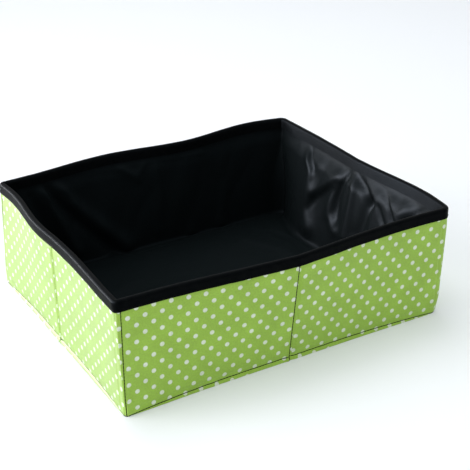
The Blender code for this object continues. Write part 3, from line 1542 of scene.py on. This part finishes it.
# The bag's folds, along each wall from its middle and up it. Those of the right and back walls
# are the photograph's; it hides the others.
WALL_FOLDS = {
    Side.RIGHT: (
        # The bag is caught at the wall's own fold and falls in two pleats with a lens between.
        Fold(((-3, 121), (2, 110), (9, 92), (13, 76), (9, 52)), -6.5, (2.4, 8.0), (0.8, 0.8)),
        Fold(((-4, 121), (-17, 112), (-36, 102), (-46, 92)), -6.0, (2.4, 7.0), (0.8, 1.0)),
        Fold(((-46, 92), (-43, 76), (-38, 50)), -6.0, (7.0, 9.0), (1.0, 0.8)),
        Fold(((-9, 114), (-17, 98), (-17, 70), (-16, 40)), 5.0, (3.0, 9.0), (0.6, 1.0)),
        Fold(((25, 88), (27, 70), (24, 52), (6, 40)), 3.5, (6.0, 8.0), (0.6, 0.9)),
        Fold(((20, 104), (40, 88), (64, 70)), 3.5, (6.0, 8.0), (0.7, 0.9)),
        Fold(((26, 86), (46, 67), (66, 44)), -4.0, (6.0, 10.0), (0.6, 1.0)),
        Fold(((-52, 116), (-70, 107), (-84, 98), (-91, 84)), -3.4, (2.0, 3.6), (0.7, 1.0)),
        Fold(((-62, 116), (-80, 108), (-97, 96)), 2.4, (5.0, 7.0), (0.7, 1.0)),
        Fold(((-63, 95), (-75, 79)), -2.4, (2.0, 3.4), (0.8, 1.0)),
        Fold(((-110, 92), (-120, 107), (-129, 114)), -4.0, (5.0, 2.4), (1.0, 0.6)),
        Fold(((-96, 116), (-106, 104), (-104, 90)), 3.0, (5.0, 8.0), (0.8, 0.9)),
        Fold(((90, 117), (84, 105), (72, 97)), -3.6, (2.2, 5.0), (0.8, 1.0)),
        # Beyond this ridge the bag falls back to the corner and into shade.
        Fold(((92, 106), (79, 92), (76, 66), (66, 24)), 6.0, (6.0, 15.0), (0.7, 1.0)),
    ),
    Side.BACK: (
        # The slack bag is drawn in long diagonals from the far left corner to the floor.
        Fold(((133, 121), (110, 86), (78, 50), (42, 12)), 6.0, (5.0, 11.0), (0.5, 1.0)),
        Fold(((141, 112), (122, 82), (94, 48), (58, 8)), -5.5, (5.0, 8.0), (0.5, 1.0)),
        Fold(((147, 110), (126, 67), (106, 21)), 5.0, (5.0, 7.0), (0.6, 1.0)),
        Fold(((160, 104), (146, 66), (128, 30)), -4.0, (5.0, 7.0), (0.6, 1.0)),
        Fold(((94, 116), (42, 112), (-9, 114), (-70, 111)), 2.4, (2.8, 2.8), (0.8, 0.8)),
        Fold(((41, 112), (30, 103), (19, 93)), 3.0, (4.0, 5.5), (0.9, 0.5)),
        Fold(((8, 112), (17, 101)), 2.2, (3.5, 4.5), (0.8, 0.5)),
        Fold(((-6, 104), (-8, 61), (-4, 21)), 2.6, (6.0, 8.0), (0.4, 0.9)),
        Fold(((-48, 66), (-50, 31), (-49, 7)), 3.0, (5.0, 8.0), (0.3, 1.0)),
        Fold(((-96, 90), (-100, 50), (-92, 10)), 3.0, (7.0, 9.0), (0.3, 1.0)),
    ),
    Side.FRONT: (
        Fold(((-120, 100), (-105, 60), (-110, 15)), 4.0, (6.0, 9.0), (0.4, 1.0)),
        Fold(((-30, 110), (-40, 60), (-28, 12)), 4.0, (5.0, 9.0), (0.4, 1.0)),
        Fold(((50, 105), (62, 60), (55, 15)), -3.5, (5.0, 8.0), (0.4, 1.0)),
        Fold(((135, 110), (120, 60), (126, 15)), 4.0, (6.0, 9.0), (0.4, 1.0)),
    ),
    Side.LEFT: (
        Fold(((10, 122), (-6, 95), (-18, 50)), -8.0, (2.5, 9.0), (0.5, 0.8)),
        Fold(((12, 122), (30, 95), (38, 50)), -8.0, (2.5, 9.0), (0.5, 0.8)),
        Fold(((12, 112), (10, 70), (8, 30)), 6.0, (3.0, 10.0), (0.5, 1.0)),
        Fold(((-80, 110), (-92, 70), (-84, 30)), -4.0, (4.0, 7.0)),
        Fold(((85, 110), (96, 70), (88, 30)), 4.0, (5.0, 8.0)),
    ),
}
# The floor's, to the right and to the back from the middle of the box.
FLOOR_FOLDS = (
    Fold(((118, 118), (140, 100), (150, 70), (146, 34)), -2.4, (4.0, 6.0), (1.0, 0.5)),
    Fold(((100, 100), (126, 60), (128, 10)), 2.2, (9.0, 12.0), (0.8, 0.6)),
    Fold(((-20, 125), (-60, 80), (-120, 60)), 2.0, (8.0, 11.0), (0.8, 0.4)),
    Fold(((60, 110), (10, 40), (-50, 20)), 1.8, (8.0, 11.0), (0.5, 0.5)),
    Fold(((-140, 30), (-80, -20), (-10, -70)), 1.8, (8.0, 10.0), (0.5, 0.5)),
)


@dataclass(frozen=True)
class Hang:
    """How the bag leaves a wall: its slope under the tape, its slump, and its turn at the floor."""

    shoulder: float
    slump: float
    turn: float


# The bag is slackest at the short walls.
WALL_HANGS = {
    Side.FRONT: Hang(0.0030, 0.0040, 0.0045),
    Side.RIGHT: Hang(0.0080, 0.0170, 0.0060),
    Side.BACK: Hang(0.0020, 0.0030, 0.0035),
    Side.LEFT: Hang(0.0080, 0.0150, 0.0060),
}


@dataclass(frozen=True)
class LinerBag:
    """The loose waterproof bag: sewn in under the tape, slumping to the floor in soft folds."""

    cell: float = 0.0026
    turn_rows: int = 9
    shoulder_run: float = 0.0190
    corner_run: float = 0.0800
    corner_hang: Hang = Hang(0.0020, 0.0020, 0.0045)
    corner_radius: float = 0.0260
    corner_fall: float = 0.0800
    gather_height: float = 0.0009
    gather_fall: float = 0.0140
    gather_size: tuple[float, float] = (0.0110, 0.0300)
    drape_height: float = 0.0050
    drape_lean: float = 0.3
    drape_size: tuple[float, float] = (0.040, 0.110)
    # The traced folds die away nearer to the corners than the drape does, this many times.
    folds_clear: float = 3
    floor_wave: float = 0.0016
    floor_size: tuple[float, float] = (0.055, 0.040)
    floor_edge: float = 0.030

    def hang(self, stop: Stop) -> Hang:
        """How the bag hangs; less freely towards the corners.

        Args:
            stop: The place on the ring.

        Returns:
            Its hang there.
        """
        wall = WALL_HANGS[stop.side]
        clear = ease((BOX.half(stop.side) - abs(stop.u)) / self.corner_run)
        held = self.corner_hang
        return Hang(
            mix(held.shoulder, wall.shoulder, clear),
            mix(held.slump, wall.slump, clear),
            mix(held.turn, wall.turn, clear),
        )

    def rows(self) -> int:
        """How many rows a wall of the bag has, above its turn at the floor."""
        return round(BOX.height / self.cell)

    def wall_point(self, stop: Stop, row: int) -> Vector:
        """A point on a wall of the bag.

        Args:
            stop: The place on the ring.
            row: Counted up from the floor; the first rows go round the turn.

        Returns:
            The point in the frame.
        """
        hang = self.hang(stop)
        turn = 0.0
        if row < self.turn_rows:
            angle = row / self.turn_rows * math.pi / 2
            turn = hang.turn * (1 - math.sin(angle))
            z = LAYERS.liner_foot + hang.turn * (1 - math.cos(angle))
        else:
            share = (row - self.turn_rows) / (self.rows() - self.turn_rows)
            z = mix(LAYERS.liner_foot + hang.turn, LAYERS.wall_top, share)
        below = max(0.0, LAYERS.tape_foot - z)
        free = below / (LAYERS.tape_foot - LAYERS.liner_foot)
        depth = LAYERS.liner_depth + FLAP.tilt(stop, z)
        depth += hang.shoulder * ease(below / self.shoulder_run)
        depth += hang.slump * free + turn
        clear = ease((BOX.half(stop.side) - abs(stop.u)) / self.corner_run)
        loose = ease(below / self.gather_fall)
        place = stop.u + stop.side.value
        gather = self.gather_height * bell(below, self.gather_fall) * loose
        depth += gather * ripple(place, z, self.gather_size, GATHER_NOISE)
        drape = ripple(place + self.drape_lean * z, z, self.drape_size, DRAPE_NOISE)
        depth += self.drape_height * clear * math.sin(math.pi * free) * abs(drape)
        spot = Vector((stop.u, z))
        settle = ease(row / self.turn_rows)
        lift = sum(fold.lift(spot) for fold in WALL_FOLDS[stop.side])
        depth += lift * loose * settle * ease(clear * self.folds_clear)
        depth = max(depth, LAYERS.liner_depth)
        rim_radius = BOX.radius(stop, BOX.height)
        radius = mix(rim_radius, self.corner_radius, ease(below / self.corner_fall))
        return BOX.place(stop, depth, z, radius)

    def floor_point(self, edges: dict[Side, list[Vector]], column: int, row: int) -> Vector:
        """A point on the bag's floor, spread between the lowest rows of its walls.

        Args:
            edges: The lowest row of each wall, from its left end seen from outside.
            column: Counted from the left wall to the right one.
            row: Counted from the front wall to the back one.

        Returns:
            The point in the frame.
        """
        front, right = edges[Side.FRONT], edges[Side.RIGHT]
        back, left = edges[Side.BACK][::-1], edges[Side.LEFT][::-1]
        across = column / (len(front) - 1)
        deep = row / (len(right) - 1)
        point = front[column] * (1 - deep) + back[column] * deep
        point += left[row] * (1 - across) + right[row] * across
        point -= (front[0] * (1 - across) + front[-1] * across) * (1 - deep)
        point -= (back[0] * (1 - across) + back[-1] * across) * deep
        sides = min(across, 1 - across) * BOX.length
        ends = min(deep, 1 - deep) * BOX.width
        clear = ease(min(sides, ends) / self.floor_edge)
        waves = self.floor_wave * (0.5 + ripple(point.x, point.y, self.floor_size, FLOOR_NOISE))
        waves += sum(fold.lift(point.to_2d()) for fold in FLOOR_FOLDS)
        point.z += max(0.0, clear * waves)
        return point

    def columns(self, side: Side, near: float, far: float) -> list[Stop]:
        """The bag's columns along part of a wall.

        Args:
            side: The wall.
            near: Where the part starts.
            far: Where it ends.

        Returns:
            Their stops.
        """
        half = BOX.half(side)
        cells = 2 * round(half / self.cell)
        stops = [Stop(side, mix(-half, half, cell / cells)) for cell in range(cells + 1)]
        return [stop for stop in stops if near - NEARLY <= stop.u <= far + NEARLY]

    def build(self) -> list[bpy.types.Object]:
        """Makes the bag in the parts that the box creases it into.

        Returns:
            The parts, the floor last.
        """
        rows = list(range(self.rows() + 1))
        parts = {}
        edges = {}
        for place in LinerPlace:
            part = place.value
            if part.side is None:
                continue
            half = BOX.half(part.side)
            near = 0.0 if part.half > 0 else -half
            far = 0.0 if part.half < 0 else half
            stops = self.columns(part.side, near, far)
            shape = lay_grid(stops, rows, self.wall_point, self.wall_print)
            # A wall's faces point out, and the bag is seen from within.
            bmesh.ops.reverse_faces(shape, faces=shape.faces[:])
            parts[part] = shape
            edge = [self.wall_point(stop, 0) for stop in stops]
            edges[part.side] = edges.get(part.side, [])[:-1] + edge
        deep = Side.RIGHT
        across = [Stop(Side.FRONT, stop.u) for stop in self.columns(Side.FRONT, -1, 1)]
        starts = {round(stop.u / NEARLY): index for index, stop in enumerate(across)}

        def floor_point(stop: Stop, row: int) -> Vector:
            """A point on the floor; each of its columns is a stop of the front wall."""
            return self.floor_point(edges, starts[round(stop.u / NEARLY)], row)

        def floor_print(stop: Stop, row: int) -> tuple[float, float]:
            """The print map of a place on the floor."""
            return (stop.u, row * self.cell)

        last = list(range(len(self.columns(deep, -1, 1))))
        parts[LinerPlace.FLOOR.value] = lay_grid(across, last, floor_point, floor_print)
        return self.finish(parts)

    def wall_print(self, stop: Stop, row: int) -> tuple[float, float]:
        """The print map of a place on a wall of the bag."""
        return (stop.u + stop.side.value, row * self.cell)

    def finish(self, parts: dict[LinerPart, bmesh.types.BMesh]) -> list[bpy.types.Object]:
        """Shades the parts as one cloth, then thickens and mounts them.

        Args:
            parts: Each part's mesh, which is freed.

        Returns:
            The pieces.
        """
        shared = {}
        for shape in parts.values():
            shape.normal_update()
            for vert in shape.verts:
                key = tuple(round(value / NEARLY) for value in vert.co)
                shared[key] = shared.get(key, Vector((0.0, 0.0, 0.0))) + vert.normal
        made = []
        for part, shape in parts.items():
            keys = [tuple(round(value / NEARLY) for value in vert.co) for vert in shape.verts]
            piece = new_piece(f"liner_bag_{part.name}", shape, TAFFETA)
            piece.data.normals_split_custom_set_from_vertices(
                [shared[key].normalized() for key in keys]
            )
            thicken(piece, LAYERS.liner)
            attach(piece, part.body)
            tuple(part.axis)
            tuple(part.anchor)
            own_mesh(piece)
            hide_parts(*part.nodes)
            made.append(piece)
        return made


@dataclass(frozen=True)
class BottomCloth:
    """The printed cloth that closes the underside, sewn to the foot of the walls."""

    cover: PrintedCover
    inset: float = 0.0006
    cell: float = 0.0150
    pace: Pace = Pace(plain=0.0100, corner=0.0015, middle=0.0040)
    lay: PrintLay = PrintLay(0.004, 0.007, 1.5)
    keep: float = 0.125

    def build(self) -> list[bpy.types.Object]:
        """Cuts the cloth to the foot of the walls and divides it.

        Returns:
            The cloth.
        """
        shape = bmesh.new()
        corners = []
        for side in Side:
            for u in self.pace.places(side)[:-1]:
                stop = Stop(side, u)
                proud = self.cover.relief(stop, self.cover.foot)
                corners.append(shape.verts.new(BOX.place(stop, self.inset - proud, 0.0)))
        bmesh.ops.contextual_create(shape, geom=corners)
        for axis, size in enumerate((BOX.length, BOX.width)):
            normal = Vector([1.0 if index == axis else 0.0 for index in range(3)])
            cells = round(size / self.cell)
            for cut in range(1, cells):
                bmesh.ops.bisect_plane(
                    shape,
                    geom=shape.verts[:] + shape.edges[:] + shape.faces[:],
                    dist=NEARLY,
                    plane_co=normal * (size * cut / cells - size / 2),
                    plane_no=normal,
                )
        bmesh.ops.recalc_face_normals(shape, faces=shape.faces[:])
        if shape.faces[0].normal.z > 0:
            bmesh.ops.reverse_faces(shape, faces=shape.faces[:])
        uv = shape.loops.layers.uv.new(PRINT_MAP)
        for face in shape.faces:
            face.smooth = True
            for loop in face.loops:
                co = loop.vert.co
                loop[uv].uv = self.lay.at(Stop(Side.FRONT, co.x), co.y)
        for edge in shape.edges:
            edge.smooth = not edge.is_boundary
        piece = new_piece("canvas_bottom", shape, BOTTOM_CANVAS)
        thicken(piece, LAYERS.bottom)
        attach(piece, "front")
        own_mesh(piece)
        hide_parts("bottom_cloth")
        return [piece]


@dataclass(frozen=True)
class Boards:
    """Eight grey boards, two to a wall, bent with the wall that they stiffen."""

    thickness: float = 0.0020
    depth: float = 0.0011
    from_middle: float = 0.0045
    from_corner: float = 0.0100
    foot: float = 0.0096
    top: float = 0.1260
    cell: float = 0.0100
    edge_radius: float = 0.0004
    edge_segments: int = 2

    def point(self, stop: Stop, z: float) -> Vector:
        """A point on a board's outer face."""
        return BOX.place(stop, self.depth, z)

    def build(self) -> list[bpy.types.Object]:
        """Cuts the boards.

        Returns:
            The eight boards.
        """
        rows = levels(((self.foot, self.cell),), self.top)
        made = []
        for half in HALVES:
            ends = [self.from_middle, BOX.half(half.side) - self.from_corner]
            near, far = ends if half.past else [-end for end in reversed(ends)]
            cells = round((far - near) / self.cell)
            stops = [Stop(half.side, mix(near, far, cell / cells)) for cell in range(cells + 1)]
            sheet = lay_grid(stops, rows, self.point, plain_print)
            piece = new_piece(f"stiff_board_{half.name}", sheet, GREYBOARD)
            thicken(piece, self.thickness)
            bevel = piece.modifiers.new("cut edge", "BEVEL")
            bevel.width = self.edge_radius
            bevel.segments = self.edge_segments
            bevel.limit_method = "ANGLE"
            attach(piece, half.body)
            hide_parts(f"board_{half.name}")
            made.append(piece)
        return made


@dataclass(frozen=True)
class Lamp:
    """A soft box: where it stands, its size and power, and whether it lights or only shines."""

    name: str
    place: tuple[float, float, float]
    size: float
    power: float
    shines: bool = False
    aim: tuple[float, float, float] = (0.0, 0.0, 0.05)

    def build(self) -> None:
        """Hangs the lamp."""
        light = bpy.data.lights.new(self.name, "AREA")
        light.shape = "SQUARE"
        light.size = self.size
        light.energy = self.power
        lamp = bpy.data.objects.new(self.name, light)
        lamp.location = self.place
        lamp.visible_diffuse = not self.shines
        lamp.visible_glossy = self.shines
        away = Vector(self.place) - Vector(self.aim)
        lamp.rotation_mode = "QUATERNION"
        lamp.rotation_quaternion = away.to_track_quat("Z", "Y")
        bpy.context.scene.collection.objects.link(lamp)


# The glints are boxes of light that only the bag's and the rim's gloss shows.
LAMPS = (
    Lamp("key", (-1.70, 0.40, 1.00), 1.5, 27.0),
    Lamp("key_glint", (-1.65, 0.60, 0.98), 1.0, 320.0, shines=True),
    Lamp("rim_glint", (-1.15, 1.50, 0.28), 0.6, 55.0, shines=True),
    Lamp("overhead", (-0.10, 0.30, 2.30), 1.6, 15.0),
    Lamp("back", (0.10, 1.10, 2.20), 1.8, 15.5),
    Lamp("fill", (0.30, -2.00, 1.20), 1.6, 6.6),
)


@dataclass(frozen=True)
class Studio:
    """The camera at the photograph's view, soft lamps and a pale floor."""

    azimuth: float = -29.519
    elevation: float = 26.511
    roll: float = -1.075
    place: tuple[float, float, float] = (-0.5654, -1.0429, 0.6706)
    focal_pixels: float = 1174.8
    picture_pixels: float = 470.0
    sensor: float = 36.0
    clip: tuple[float, float] = (0.01, 100.0)
    floor_size: float = 12.0
    floor_drop: float = 0.0002
    floor_colour: str = "#DCE0E2"
    floor_glow: float = 0.21
    world_light: float = 0.49
    world_colour: str = "#F4F7FF"
    backdrop: str = "#FCFEFF"

    def camera(self) -> None:
        """Sets the camera as it was fitted to the box's corners in the photograph."""
        a, e, r = (math.radians(angle) for angle in (self.azimuth, self.elevation, self.roll))
        back = Vector((math.sin(a) * math.cos(e), -math.cos(a) * math.cos(e), math.sin(e)))
        right = Vector((math.cos(a), math.sin(a), 0))
        up = back.cross(right)
        turned_right = right * math.cos(r) + up * math.sin(r)
        turned_up = up * math.cos(r) - right * math.sin(r)
        lens = bpy.data.cameras.new("camera")
        lens.sensor_width = self.sensor
        lens.lens = self.sensor * self.focal_pixels / self.picture_pixels
        lens.clip_start, lens.clip_end = self.clip
        camera = bpy.data.objects.new("camera", lens)
        turn = Matrix((turned_right, turned_up, back)).transposed().to_4x4()
        camera.matrix_world = Matrix.Translation(self.place) @ turn
        bpy.context.scene.collection.objects.link(camera)
        bpy.context.scene.camera = camera

    def pale_rays(self, tree: bpy.types.NodeTree) -> bpy.types.Node:
        """Tells the rays that see the background: the camera's, a gloss's and a glass's.

        Args:
            tree: The nodes to work in.

        Returns:
            A node that gives 1 for them.
        """
        path = add_node(tree, "LightPath")
        seen = path.outputs["Is Camera Ray"]
        for name in ("Is Glossy Ray", "Is Transmission Ray"):
            seen = add_node(tree, "Math", {0: seen, 1: path.outputs[name]}, operation="MAXIMUM")
        return seen

    def world(self) -> None:
        """A soft, even world that shows white behind the object."""
        world = bpy.data.worlds.new("studio")
        world.use_nodes = True
        tree = world.node_tree
        tree.nodes.clear()
        soft = {"Color": linear(self.world_colour), "Strength": self.world_light}
        light = add_node(tree, "Background", soft)
        white = add_node(tree, "Background", {"Color": linear(self.backdrop), "Strength": 1.0})
        both = add_node(tree, "MixShader", {0: self.pale_rays(tree), 1: light, 2: white})
        add_node(tree, "OutputWorld", {"Surface": both})
        bpy.context.scene.world = world

    def floor(self) -> None:
        """A matt floor that glows to near white and still takes the object's shadow."""
        shape = bmesh.new()
        bmesh.ops.create_grid(shape, x_segments=1, y_segments=1, size=self.floor_size / 2)
        bmesh.ops.translate(shape, vec=(0, 0, -self.floor_drop), verts=shape.verts)
        mesh = bpy.data.meshes.new("floor")
        shape.to_mesh(mesh)
        shape.free()
        paper = bpy.data.materials.new("seamless_background_paper")
        paper.use_nodes = True
        tree = paper.node_tree
        tree.nodes.clear()
        matt = add_node(tree, "BsdfDiffuse", {"Color": linear(self.floor_colour)})
        glow = add_node(tree, "Emission", {"Strength": self.floor_glow})
        off = add_node(tree, "Emission", {"Strength": 0.0})
        seen = add_node(tree, "MixShader", {0: self.pale_rays(tree), 1: off, 2: glow})
        both = add_node(tree, "AddShader", {0: matt, 1: seen})
        add_node(tree, "OutputMaterial", {"Surface": both})
        mesh.materials.append(paper)
        floor = bpy.data.objects.new("floor", mesh)
        bpy.context.scene.collection.objects.link(floor)

    def build(self) -> None:
        """Sets the whole studio."""
        bpy.context.scene.view_settings.view_transform = "Standard"
        self.camera()
        self.world()
        self.floor()
        for lamp in LAMPS:
            lamp.build()


def main() -> None:
    """Builds every sub-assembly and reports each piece."""
    logging.basicConfig(level=logging.INFO, format="%(name)s: %(message)s")
    Studio().build()
    cover = PrintedCover()
    for assembly in (cover, Backing(), RimTape(), LinerBag(), BottomCloth(cover), Boards()):
        for piece in assembly.build():
            log.info("%s: %s", type(assembly).__name__, piece.name)
    for piece in Stitching().build(cover):
        log.info("Stitching: %s", piece.name)


if __name__ == "__main__":
    main()
